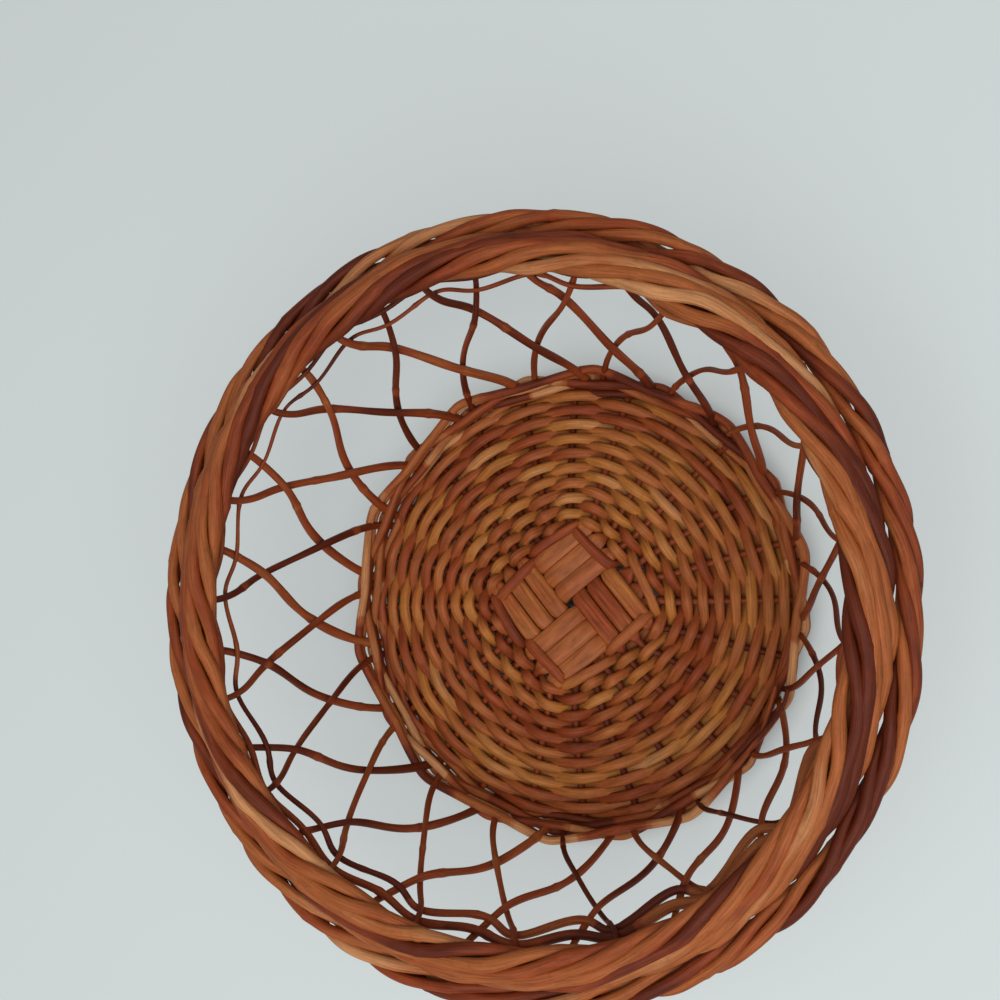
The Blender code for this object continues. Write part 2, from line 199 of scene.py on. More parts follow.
# Noise scales of the willow, in cycles a metre along and across the rod: its tone drifts over 45 by 11 mm, its
# fibres are 10.5 by 0.43 mm and its specks 2.4 mm. Real fibres are finer and wouldn't show from here.
DRIFT_SCALES = (22.0, 90.0, 90.0)
FIBRE_SCALES = (95.0, 2300.0, 2300.0)
SPECK_SCALE = 420.0
FIBRE_DEPTH = 0.00025

# The stage. The camera is the one fitted to the photo's rim, weave and cross, in rim radii. The floor's even
# colour keeps the shadows as faint as in the photo, and stops short of the base, so the gaps of the weave stay
# dark.
FLOOR_SIZE = 6.0
FLOOR_EVEN_SHARE = 0.45
FLOOR_EVEN_REACH = 0.010
ROOM_COLOUR = (1.0, 0.99, 0.97, 1.0)
ROOM_STRENGTH = 0.38
LAMP_PLACE = (0.3, -0.45, 0.9)
LAMP_SIZE = 1.2
LAMP_POWER = 11.7
CAMERA_EYE = Vector((1.2044, -0.0333, 4.3555))
CAMERA_RIGHT = Vector((0.94697, -0.0433, -0.31838))
CAMERA_BACK = Vector((0.31459, -0.07666, 0.94613))
CAMERA_LENS = 55.56
CAMERA_SENSOR_WIDTH = 36.0
CAMERA_CLIP_START = 0.01

# The seed of Blender's noise vectors, which otherwise start from the clock and differ from run to run.
NOISE_SEED = 1


def linear(code):
    """An sRGB hex code as the linear colour that Blender works in."""
    parts = [int(code[place:place + 2], 16) / 255.0 for place in (1, 3, 5)]
    return tuple(part / 12.92 if part <= 0.04045 else ((part + 0.055) / 1.055) ** 2.4 for part in parts)


def polar(radius, angle, height):
    return Vector((radius * math.cos(angle), radius * math.sin(angle), height))


def ease(share):
    share = min(max(share, 0.0), 1.0)
    return share * share * (3.0 - 2.0 * share)


def mix(start, end, share):
    return start + (end - start) * share


# Lines that the rods follow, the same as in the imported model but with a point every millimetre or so.

def smooth_line(points, steps, closed=False):
    """More points between the given ones, on a curve that passes through them all."""
    count = len(points)
    line = []
    for index in range(count if closed else count - 1):
        places = [index + step for step in (-1, 0, 1, 2)]
        if closed:
            before, here, there, after = (points[place % count] for place in places)
        else:
            before, here, there, after = (points[min(max(place, 0), count - 1)] for place in places)
        for step in range(steps):
            t = step / steps
            line.append(0.5 * (
                2.0 * here + (there - before) * t
                + (2.0 * before - 5.0 * here + 4.0 * there - after) * t ** 2
                + (3.0 * here - before - 3.0 * there + after) * t ** 3))
    if not closed:
        line.append(points[-1].copy())
    return line


def wander(line, amount, reach, seed):
    """The line, strayed a little from its course, as a rod that was never quite straight."""
    noise.seed_set(NOISE_SEED)
    drift = Vector((seed * 3.1, seed * 1.7, seed * 5.3))
    return [point + noise.noise_vector(point / reach + drift) * amount for point in line]


def runs(line):
    """How far along the line each point lies."""
    total = 0.0
    found = [0.0]
    for point, following in zip(line, line[1:]):
        total += (following - point).length
        found.append(total)
    return found


def knots(line, seed, sizes):
    """How near each point lies to one of the rod's knots, from 0 for far to 1 for on it."""
    found = []
    for run in runs(line):
        place = run / sizes.knot_spacing + 0.37 * seed
        nearest = round(place) + 0.3 * noise.noise(Vector((round(place) * 3.7, seed, 0.0)))
        off = (place - nearest) * sizes.knot_spacing / sizes.knot_length
        found.append(math.exp(-off * off))
    return found


def grown_radii(line, radii, seed, sizes):
    """The rod's radius at each point with its swellings and knots."""
    drift = Vector((seed * 2.3, seed * 4.1, seed * 0.9))
    grown = []
    for point, radius, knot in zip(line, radii, knots(line, seed, sizes)):
        swell = 1.0 + sizes.swelling_share * noise.noise(point / sizes.swelling_reach + drift)
        grown.append(radius * swell + sizes.knot_height * knot)
    return grown


def border_half_width():
    """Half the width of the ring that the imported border's rod centres wind round."""
    return BORDER_WIDTH / 2.0 - BORDER_ROD_RADIUS


def border_half_depth():
    return BORDER_DEPTH / 2.0 - BORDER_ROD_RADIUS


def border_ring_radius():
    return RIM_RADIUS - BORDER_WIDTH / 2.0


def stake_end():
    """Where a stake's top meets the underside of a border rod: radius, height and its direction there."""
    facing = Vector((math.cos(BORDER_SEAT), math.sin(BORDER_SEAT)))
    centre = Vector((
        border_ring_radius() + border_half_width() * facing.x,
        BORDER_LEVEL + border_half_depth() * facing.y))
    return centre + facing * (BORDER_ROD_RADIUS + CLEARANCE), facing


def stake_foot_radius():
    return BASE_EDGE_RADIUS + CLEARANCE + 2.0 * UPSETT_ROD_RADIUS + CLEARANCE + STAKE_RADIUS


def rise_share(level):
    """How far up the wall a height is."""
    top, _ = stake_end()
    return (level - STAKE_RING_LEVEL) / (top.y - STAKE_RING_LEVEL)


def flare_share(level):
    """How far out the wall a height is: the wall flares more towards the rim."""
    share = rise_share(level)
    return mix(share, share * share, WALL_FLARE_SHARE)


def wall_radius(level):
    top, _ = stake_end()
    return mix(stake_foot_radius(), top.x, flare_share(level))


def lean_share(level):
    """How much of its lean a stake has done at a height: it leans most in the middle."""
    share = flare_share(level)
    return mix(share, ease(share), LEAN_EASE_SHARE)


def family_shift():
    """The angle between a left-leaning stake's foot and the right-leaning one's beyond it."""
    beside = (2.0 * STAKE_RADIUS + CLEARANCE) / (BASE_EDGE_RADIUS - STAKE_ROOT_GRIP)
    return STAKE_STEP - beside


def wall_lean():
    """The angle that a stake leans through from foot to top."""
    return (family_shift() + LEAN_STEP_COUNT * math.pi / STAKE_PAIR_COUNT) / 2.0


def stake_angle(family, level):
    start = WALL_TURN if family > 0 else WALL_TURN + family_shift()
    return start + family * wall_lean() * lean_share(level)


def stake_radius(level):
    return mix(STAKE_RADIUS, STAKE_TIP_RADIUS, rise_share(level))


def stake_ring_radius(family, level):
    """A stake's distance from the axis: it sways past the other family and gives way to the fitch."""
    turn = 2.0 * math.pi * max(lean_share(level), 0.0) ** STAKE_SWAY_POWER
    rise = rise_share(level) - FITCH_FLEX_START_SHARE
    flex = FITCH_FLEX * ease(rise / (FITCH_FLEX_FULL_SHARE - FITCH_FLEX_START_SHARE))
    return wall_radius(level) - (STAKE_SWAY * math.sin(turn) + flex) * family


def swing(reach, spacing):
    """How far a rod swings out to clear what it crosses by a reach, since it passes it at a slant."""
    return reach / math.sqrt(1.0 - (2.0 * reach / spacing) ** 2)


def stake_line(family, turn):
    """A stake from its root under the base, round its bend and up the wall into the border."""
    top, _ = stake_end()
    floor = STAKE_RADIUS - STAKE_FLAT_DEPTH
    start = stake_angle(family, STAKE_RING_LEVEL) + turn
    bend = STAKE_RING_LEVEL - floor
    foot = stake_foot_radius()
    points = [polar(mix(BASE_EDGE_RADIUS - STAKE_ROOT_GRIP, foot - bend, share), start, floor)
              for share in (0.0, 0.5, 1.0)]
    for share in (0.25, 0.5, 0.75):
        sweep = share * math.pi / 2.0
        height = floor + bend * (1.0 - math.cos(sweep))
        points.append(polar(foot - bend + bend * math.sin(sweep), start, height))
    for index in range(STAKE_POINT_COUNT):
        level = mix(STAKE_RING_LEVEL, top.y, index / (STAKE_POINT_COUNT - 1))
        points.append(polar(stake_ring_radius(family, level), stake_angle(family, level) + turn, level))
    for share in (0.5, 1.0):
        level = mix(top.y, STAKE_VISIBLE_END, share)
        points.append(polar(wall_radius(level), stake_angle(family, level) + turn, level))
    return smooth_line(points, 2)


def stake_reach(level, rod_radius, gap):
    """How far from the stakes a rod swings to pass them, at a height and an angle between them."""
    slope = wall_radius(level + rod_radius) - wall_radius(level - rod_radius)
    tilt = math.cos(math.atan2(slope, 2.0 * rod_radius))
    return swing((stake_radius(level) + rod_radius + CLEARANCE) / tilt, gap * wall_radius(level))


def fitch_line(steps):
    """The fitch: inside one stake and outside the next, twice round."""
    stakes = 2 * STAKE_PAIR_COUNT
    crossed = (LEAN_STEP_COUNT + 1) // 2
    points = []
    for number in range(FITCH_ROUND_COUNT * stakes - 1):
        climbed, place_in = divmod(number, stakes)
        if place_in == stakes - 1:
            climbed += 0.5
        index, second = divmod(place_in, 2)
        family = -1 if second else 1
        turn = (index + second * crossed) * STAKE_STEP
        level = FITCH_VISIBLE_LEVEL + climbed * FITCH_VISIBLE_STEP
        level += FITCH_LEAN * math.cos(stake_angle(family, level) + turn - FITCH_THIN_SIDE)
        angle = stake_angle(family, level) + turn
        reach = family * stake_reach(level, FITCH_ROD_RADIUS, STAKE_STEP / 2.0)
        points.append(polar(stake_ring_radius(family, level) + reach, angle, level))
    return smooth_line(points, steps)


def upsett_half(strand):
    """One half of the folded upsett, 0 for the lower one and 1 for the upper: in and out of the pairs."""
    points = []
    for number in range(UPSETT_ROUND_COUNT * STAKE_PAIR_COUNT - 1):
        turn, pair = divmod(number, STAKE_PAIR_COUNT)
        climbed = 2 * turn + strand + (1 if pair == STAKE_PAIR_COUNT - 1 else 0)
        level = UPSETT_LEVEL + climbed * (2.0 * UPSETT_ROD_RADIUS + CLEARANCE)
        side = 1.0 if (pair + strand) % 2 else -1.0
        reach = side * UPSETT_SWING_SHARE * stake_reach(level, UPSETT_ROD_RADIUS, family_shift())
        for family, index in ((-1, pair), (1, pair + 1)):
            angle = stake_angle(family, level) + index * STAKE_STEP
            points.append(polar(stake_ring_radius(family, level) + reach, angle, level))
    return points


def upsett_line(steps):
    """The folded upsett: one half backwards, the fold round a stake and the other half."""
    lower = upsett_half(0)
    upper = upsett_half(1)
    reach = STAKE_RADIUS + UPSETT_ROD_RADIUS + 3.0 * CLEARANCE
    turn = Matrix.Rotation(-reach / stake_foot_radius(), 3, "Z")
    fold = [turn @ lower[0].lerp(upper[0], share) for share in UPSETT_FOLD_SHARES]
    return smooth_line(list(reversed(lower)) + fold + upper, steps)


def end_shares(line, count):
    """How near each point of the line is to one of its ends: 1 at the end, 0 from some points on."""
    return [ease(1.0 - min(index, len(line) - 1 - index) / count) for index in range(len(line))]


def tucked(line, count, depth):
    """The line with its two ends bent inward, out of sight behind the stakes."""
    result = []
    for point, share in zip(line, end_shares(line, count)):
        inward = depth * share / math.hypot(point.x, point.y)
        result.append(Vector((point.x * (1.0 - inward), point.y * (1.0 - inward), point.z)))
    return result


def border_line(turn, turns, offset, half_width, half_depth, slow_share, points_a_turn):
    """A strand of one of the border's ropes and the way its face looks: long on top, fast at the edges."""
    line = []
    normals = []
    tilt = Matrix.Rotation(-BORDER_TILT, 2)
    for index in range(turns * points_a_turn):
        wound = 2.0 * math.pi * index / points_a_turn
        angle = turn + wound / turns
        phase = wound + slow_share * math.sin(2.0 * wound)
        across = tilt @ Vector((offset + half_width * math.cos(phase), half_depth * math.sin(phase)))
        outward = tilt @ Vector((math.cos(phase) / half_width, math.sin(phase) / half_depth)).normalized()
        oval = BORDER_OVALNESS * math.cos(2.0 * (angle - BORDER_LONG_SIDE))
        ring = border_ring_radius() + BORDER_GROWTH + oval
        line.append(polar(ring + across.x, angle, BORDER_VISIBLE_LEVEL + across.y))
        normals.append(polar(outward.x, angle, outward.y))
    return line, normals


def softened(line, passes):
    """A line with its corners eased, as a rod bends rather than kinks."""
    for _ in range(passes):
        middle = [(before + 2.0 * here + after) / 4.0
                  for before, here, after in zip(line, line[1:], line[2:])]
        line = [line[0]] + middle + [line[-1]]
    return line


def weaver_swing(spacing):
    return swing(SPOKE_RADIUS + WEAVER_RADIUS + CLEARANCE, spacing)


def base_edge_level():
    root_top = 2.0 * STAKE_RADIUS - STAKE_FLAT_DEPTH
    return root_top + CLEARANCE + WEAVER_RADIUS + weaver_swing(SPOKE_PITCH * BASE_EDGE_RADIUS)


def base_level(radius):
    """The height of the domed base at a distance from its middle."""
    return base_edge_level() + BASE_DOME * (1.0 - (radius / BASE_EDGE_RADIUS) ** 2)


def cross_lift():
    """How far the sticks of one bundle rise, and of the other sink, to cross."""
    return (FLAT_STICK_THICKNESS + ROUND_STICK_THICKNESS) / 4.0 + CLEARANCE


def stick_offset(index):
    return BUNDLE_PITCH / 2.0 + (index - (BUNDLE_STICK_COUNT - 1) / 2.0) * STICK_PITCH


def stick_angle(index, radius):
    """A stick's angle at a distance: straight at the cross, then fanned out evenly."""
    straight = math.asin(min(stick_offset(index) / radius, 1.0))
    fanned = (index + 0.5) * SPOKE_PITCH
    return mix(straight, fanned, ease((radius - FAN_START_RADIUS) / (FAN_END_RADIUS - FAN_START_RADIUS)))


def stick_half(index, lift):
    """One half of a stick from the middle of the cross outwards: its points and how far each is a spoke."""
    gap = BUNDLE_PITCH - BUNDLE_STICK_COUNT * STICK_PITCH
    edge = BUNDLE_PITCH - gap / 2.0
    offset = stick_offset(index)
    points = []
    spokes = []
    for step in range(8):
        along = mix(gap / 2.0, edge, step / 7.0)
        points.append(Vector((along, offset, base_level(math.hypot(along, offset)) + lift)))
        spokes.append(0.0)
    start = math.hypot(edge, offset)
    for step in range(1, 33):
        share = step / 32.0
        radius = mix(start, STICK_END_RADIUS, share)
        angle = stick_angle(index, radius)
        fade = ease(share / STICK_FADE_SHARE)
        points.append(polar(radius, angle, base_level(radius) + lift * (1.0 - fade)))
        spokes.append(fade)
    return points, spokes


def stick_line(index, bundle, flat):
    """A whole stick, over one bundle of the others and under the next, turned to the cross."""
    lift = cross_lift() * bundle * (1.0 if flat else -1.0)
    far, far_spokes = stick_half(index, lift)
    near, near_spokes = stick_half(index, -lift)
    points = [Vector((-point.x, point.y, point.z)) for point in reversed(near)] + far
    spokes = list(reversed(near_spokes)) + far_spokes
    turn = Matrix.Rotation(CROSS_TURN, 3, "Z")
    laid = []
    for point in points:
        sideways = point.y * bundle
        placed = Vector((point.x, sideways, point.z)) if flat else Vector((sideways, point.x, point.z))
        laid.append(turn @ placed)
    return laid, spokes


def spoke_angle(number, radius):
    """The angle of a spoke at a distance, the spokes counted round the base from the first bundle."""
    per_arm = 2 * BUNDLE_STICK_COUNT
    quarter, place_in = divmod(number, per_arm)
    if place_in < BUNDLE_STICK_COUNT:
        return quarter * math.pi / 2.0 + stick_angle(place_in, radius)
    return (quarter + 1) * math.pi / 2.0 - stick_angle(per_arm - 1 - place_in, radius)


def round_radius(angle, rounds):
    """The distance of the weaver from the centre: a rounded square about the cross, a circle at the edge."""
    across = abs(math.cos(angle)) ** WEAVE_SQUARENESS + abs(math.sin(angle)) ** WEAVE_SQUARENESS
    square = WEAVE_START_DISTANCE / across ** (1.0 / WEAVE_SQUARENESS)
    return mix(square, WEAVE_END_RADIUS, rounds / WEAVE_ROUND_COUNT)


def climb(first, number):
    """How many rounds out a strand is: the first turns stay close to the cross and move out late."""
    power = 1.0 + WEAVE_HUG_POWER * math.exp(-(first // 2) / WEAVE_HUG_TURNS)
    return first + 2.0 * (number / SPOKE_COUNT) ** power


def spoke_station(number, rounds):
    """Where the weaver passes a spoke: its angle, its distance and the way to the next spoke."""
    angle = (number + 0.5) * SPOKE_PITCH
    for _ in range(BUNDLE_STICK_COUNT):
        radius = round_radius(angle, rounds)
        angle = spoke_angle(number, radius)
    if number % BUNDLE_STICK_COUNT == BUNDLE_STICK_COUNT - 1:
        neighbour = spoke_angle(number - 1, radius)
    else:
        neighbour = spoke_angle(number + 1, radius)
    return angle, radius, abs(neighbour - angle) * radius


def bundle_turn(first, side):
    """One turn about the cross, over one bundle and under the next."""
    points = []
    lift = (ROUND_STICK_THICKNESS + CLEARANCE) / 2.0 + WEAVER_RADIUS
    for bundle in range(BUNDLE_END_COUNT):
        up = side if bundle % 2 == 0 else -side
        for place_in in (0, BUNDLE_STICK_COUNT - 1):
            number = bundle * BUNDLE_STICK_COUNT + place_in
            angle, radius, _ = spoke_station(number, climb(first, number))
            overhang = SPOKE_RADIUS * BUNDLE_OVERHANG_SHARE / radius
            angle += overhang if place_in else -overhang
            points.append(polar(radius, angle, base_level(radius) + up * lift))
    return points


def spoke_turn(first, side):
    """One turn over one spoke and under the next."""
    points = []
    for number in range(SPOKE_COUNT):
        rounds = climb(first, number)
        if rounds > WEAVE_ROUND_COUNT:
            break
        angle, radius, spacing = spoke_station(number, rounds)
        up = side if number % 2 == 0 else -side
        points.append(polar(radius, angle, base_level(radius) + up * weaver_swing(spacing)))
    return points


def weaver_line(steps):
    """The folded weaver: its two halves chase each other out from the cross to the base's edge."""
    halves = []
    for strand, side in ((0, 1.0), (1, -1.0)):
        points = []
        for first in range(strand, WEAVE_ROUND_COUNT + 1, 2):
            turn = bundle_turn if first < BUNDLE_ROUND_COUNT else spoke_turn
            points += turn(first, side)
        halves.append(points)
    inner, outer = halves
    fold = Matrix.Rotation(-SPOKE_PITCH / 2.0, 3, "Z") @ ((inner[0] + outer[0]) / 2.0)
    laid = Matrix.Rotation(CROSS_TURN, 3, "Z")
    points = [laid @ point for point in list(reversed(inner)) + [fold] + outer]
    return smooth_line(points, steps)


def upward_normals(line):
    """At each point the direction across the rod that faces up, away from the base."""
    normals = []
    for index, point in enumerate(line):
        ahead = line[min(index + 1, len(line) - 1)] - line[max(index - 1, 0)]
        outwards = Vector((point.x, point.y, 0.0))
        normal = outwards.cross(ahead)
        if normal.z < 0.0:
            normal.negate()
        normals.append(normal.normalized())
    return normals


# Modelling.

def draw_rod(name, line, radii, sides, closed=False):
    """A rod drawn as a path with a round bevel, made a mesh with one ring of corners at each point."""
    bpy.ops.object.select_all(action="DESELECT")
    bpy.ops.curve.primitive_nurbs_path_add(location=(0.0, 0.0, 0.0))
    rod = bpy.context.object
    rod.name = name
    path = rod.data
    path.splines.clear()
    path.twist_mode = "MINIMUM"
    path.bevel_depth = 1.0
    path.bevel_resolution = sides // 2 - 2
    spline = path.splines.new("POLY")
    spline.points.add(len(line) - 1)
    spline.use_cyclic_u = closed
    for station, point, radius in zip(spline.points, line, radii):
        station.co = (*point, 1.0)
        station.radius = radius
    bpy.ops.object.convert(target="MESH")
    if not closed:
        bpy.ops.object.mode_set(mode="EDIT")
        bpy.ops.mesh.select_all(action="SELECT")
        bpy.ops.mesh.fill_holes(sides=0)
        bpy.ops.object.mode_set(mode="OBJECT")
    bpy.ops.object.shade_smooth_by_angle(angle=math.radians(50))
    rod.data.name = name
    return rod


def corner_array(rod, line):
    """The rod's corners, by the point of the line whose ring they are in."""
    corners = np.zeros(len(rod.data.vertices) * 3)
    rod.data.vertices.foreach_get("co", corners)
    return corners.reshape(len(line), -1, 3)


def rest_on_floor(rod):
    """Flattens what would sink into the floor, as a rod wears flat where it stands."""
    for corner in rod.data.vertices:
        corner.co.z = max(corner.co.z, 0.0)


def press_flat(rod, line, normals, width_shares, thickness_shares, groove=0.0, corner_powers=None):
    """Makes each ring of a rod wider across the normal and thinner along it, with a groove down its middle.

    A corner power below one makes the ring's corners fuller, as on a split slat.
    """
    corners = corner_array(rod, line)
    centres = np.array([tuple(point) for point in line])[:, None, :]
    normal = np.array([tuple(direction) for direction in normals])[:, None, :]
    away = corners - centres
    up = (away * normal).sum(axis=2, keepdims=True) * normal
    across = away - up
    wide = np.array(width_shares)[:, None, None]
    thin = np.array(thickness_shares)[:, None, None]
    reach = np.linalg.norm(away, axis=2, keepdims=True)
    middle = np.exp(-(np.linalg.norm(across, axis=2, keepdims=True) / (0.28 * reach)) ** 2)
    sunk = 1.0 - groove * middle * np.clip(wide - 1.0, 0.0, 1.0)
    if corner_powers:
        power = np.array(corner_powers)[:, None, None] - 1.0
        least = 1.0e-6
        above = np.linalg.norm(up, axis=2, keepdims=True) / reach
        up = up * np.maximum(above, least) ** power
        aside = np.linalg.norm(across, axis=2, keepdims=True) / reach
        across = across * np.maximum(aside, least) ** power
    rod.data.vertices.foreach_set("co", (centres + across * wide + up * thin * sunk).ravel())
    rod.data.update()


def even_tones(line, seed, spread):
    """One tone for a whole rod, between 0 for dark and 1 for pale."""
    return [0.5 + spread * (random.Random(seed).random() - 0.5) * 2.0] * len(line)


def stroke_tones(count, strokes, start, seed):
    """A tone for each stroke of a rod, the part that shows before it dives, eased into the next."""
    chance = random.Random(seed)
    tones = [chance.random() for _ in range(strokes)]
    found = []
    for index in range(count):
        place = (index / count * strokes + start) % strokes
        number = int(place)
        blend = ease((place - number) / 0.12)
        found.append(mix(tones[number - 1], tones[number], blend))
    return found


def lay_grain(rod, line, radii, tones, seed):
    """Gives each corner its place on the straightened rod, for grain that follows the bends, and its tone."""
    sides = len(rod.data.vertices) // len(line)
    along = np.repeat(np.array(runs(line)) + seed * 1.37, sides)
    turn = np.tile(2.0 * math.pi * np.arange(sides) / sides, len(line))
    reach = np.repeat(np.array(radii), sides)
    grain = rod.data.attributes.new("grain", "FLOAT_VECTOR", "POINT")
    grain.data.foreach_set("vector", np.stack(
        (along, reach * np.cos(turn), reach * np.sin(turn)), axis=1).ravel())
    tone = rod.data.attributes.new("tone", "FLOAT", "POINT")
    tone.data.foreach_set("value", np.repeat(np.array(tones), sides))


def finish_rod(rod, line, radii, tones, seed, surface, node):
    lay_grain(rod, line, radii, tones, seed)
    rod.data.materials.clear()
    rod.data.materials.append(surface)
    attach(rod, "root")
    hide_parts(node)


def add_node(tree, kind, links=(), **settings):
    """Adds a node, sets its properties and sockets, and links other sockets into it."""
    node = tree.nodes.new(kind)
    for name, value in settings.items():
        if name in node.inputs:
            node.inputs[name].default_value = value
        else:
            setattr(node, name, value)
    for socket, source in links:
        tree.links.new(source, node.inputs[socket])
    return node


def ramp_stops(node, stops):
    """Sets a colour ramp's places and colours, and returns its colour."""
    ramp = node.color_ramp
    while len(ramp.elements) < len(stops):
        ramp.elements.new(1.0)
    for element, (place, colour) in zip(ramp.elements, stops):
        element.position = place
        element.color = (*colour, 1.0)
    return node.outputs["Color"]


def willow(name, tones, roughness, coat):
    """Boiled willow rod, peeled and varnished: brown tones that drift along the rod, with fine streaks.

    The bark is gone, so the fibres show as shallow streaks about 0.4 mm wide and 10 mm long, and the
    varnish gives a soft gloss that breaks on them.
    """
    surface = bpy.data.materials.get(name)
    if surface:
        return surface
    surface = bpy.data.materials.new(name)
    surface.use_nodes = True
    tree = surface.node_tree
    shader = tree.nodes["Principled BSDF"]
    grain = add_node(tree, "ShaderNodeAttribute", attribute_name="grain").outputs["Vector"]
    place = add_node(tree, "ShaderNodeTexCoord").outputs["Object"]
    long_way = add_node(tree, "ShaderNodeVectorMath", [(0, grain)], operation="MULTIPLY")
    long_way.inputs[1].default_value = DRIFT_SCALES
    drift = add_node(tree, "ShaderNodeTexNoise", [("Vector", long_way.outputs["Vector"])],
                     Scale=1.0, Detail=3.0, Roughness=0.55)
    own = add_node(tree, "ShaderNodeAttribute", attribute_name="tone").outputs["Fac"]
    swung = add_node(tree, "ShaderNodeMapRange", [("Value", drift.outputs["Fac"])],
                     **{"From Min": 0.25, "From Max": 0.75, "To Min": -0.3, "To Max": 0.3})
    place_in = add_node(tree, "ShaderNodeMath", [(0, own), (1, swung.outputs["Result"])], operation="ADD")
    tone = add_node(tree, "ShaderNodeValToRGB", [("Fac", place_in.outputs["Value"])])
    tone = ramp_stops(tone, list(zip((0.05, 0.3, 0.5, 0.7, 0.92), tones)))
    fibre_way = add_node(tree, "ShaderNodeVectorMath", [(0, grain)], operation="MULTIPLY")
    fibre_way.inputs[1].default_value = FIBRE_SCALES
    fibres = add_node(tree, "ShaderNodeTexNoise", [("Vector", fibre_way.outputs["Vector"])],
                      Scale=1.0, Detail=3.0, Roughness=0.6).outputs["Fac"]
    streak = add_node(tree, "ShaderNodeMapRange", [("Value", fibres)],
                      **{"From Min": 0.32, "From Max": 0.68, "To Min": 0.66, "To Max": 1.22})
    specks = add_node(tree, "ShaderNodeTexNoise", [("Vector", place)],
                      Scale=SPECK_SCALE, Detail=2.0, Roughness=0.6)
    speck = add_node(tree, "ShaderNodeMapRange", [("Value", specks.outputs["Fac"])],
                     **{"From Min": 0.30, "From Max": 0.45, "To Min": 0.88, "To Max": 1.0})
    shade = add_node(tree, "ShaderNodeMath", [(0, streak.outputs["Result"]), (1, speck.outputs["Result"])],
                     operation="MULTIPLY")
    colour = add_node(tree, "ShaderNodeVectorMath", [(0, tone), ("Scale", shade.outputs["Value"])],
                      operation="SCALE")
    tree.links.new(colour.outputs["Vector"], shader.inputs["Base Color"])
    rough = add_node(tree, "ShaderNodeMapRange", [("Value", fibres)], **{
        "From Min": 0.3, "From Max": 0.7, "To Min": roughness + 0.12, "To Max": roughness - 0.06})
    tree.links.new(rough.outputs["Result"], shader.inputs["Roughness"])
    bump = add_node(tree, "ShaderNodeBump", [("Height", fibres)], Strength=0.55, Distance=FIBRE_DEPTH)
    tree.links.new(bump.outputs["Normal"], shader.inputs["Normal"])
    shader.inputs["Specular IOR Level"].default_value = 0.17
    shader.inputs["Coat Weight"].default_value = coat
    shader.inputs["Coat Roughness"].default_value = 0.28
    return surface


def floor_paper(colour, even_colour):
    """Matt pale paper that keeps the basket's shadow, and that the eye sees drawn towards an even colour."""
    paper = bpy.data.materials.new("matt_paper_floor")
    paper.use_nodes = True
    tree = paper.node_tree
    shader = tree.nodes["Principled BSDF"]
    shader.inputs["Base Color"].default_value = (*colour, 1.0)
    shader.inputs["Roughness"].default_value = 0.9
    shader.inputs["Specular IOR Level"].default_value = 0.1
    rays = add_node(tree, "ShaderNodeLightPath").outputs
    seen = rays["Is Camera Ray"]
    for kind in ("Is Glossy Ray", "Is Transmission Ray"):
        seen = add_node(tree, "ShaderNodeMath", [(0, seen), (1, rays[kind])], operation="MAXIMUM")
        seen = seen.outputs["Value"]
    place = add_node(tree, "ShaderNodeTexCoord").outputs["Object"]
    reach = add_node(tree, "ShaderNodeVectorMath", [(0, place)], operation="LENGTH").outputs["Value"]
    clear = add_node(tree, "ShaderNodeMapRange", [("Value", reach)], **{
        "From Min": WEAVE_END_RADIUS, "From Max": WEAVE_END_RADIUS + FLOOR_EVEN_REACH,
        "To Max": FLOOR_EVEN_SHARE})
    share = add_node(tree, "ShaderNodeMath", [(0, seen), (1, clear.outputs["Result"])], operation="MULTIPLY")
    even = add_node(tree, "ShaderNodeEmission", Color=(*even_colour, 1.0))
    mixed = add_node(tree, "ShaderNodeMixShader", [
        (0, share.outputs["Value"]), (1, shader.outputs["BSDF"]), (2, even.outputs["Emission"])])
    tree.links.new(mixed.outputs["Shader"], tree.nodes["Material Output"].inputs["Surface"])
    return paper


# The panel's values.

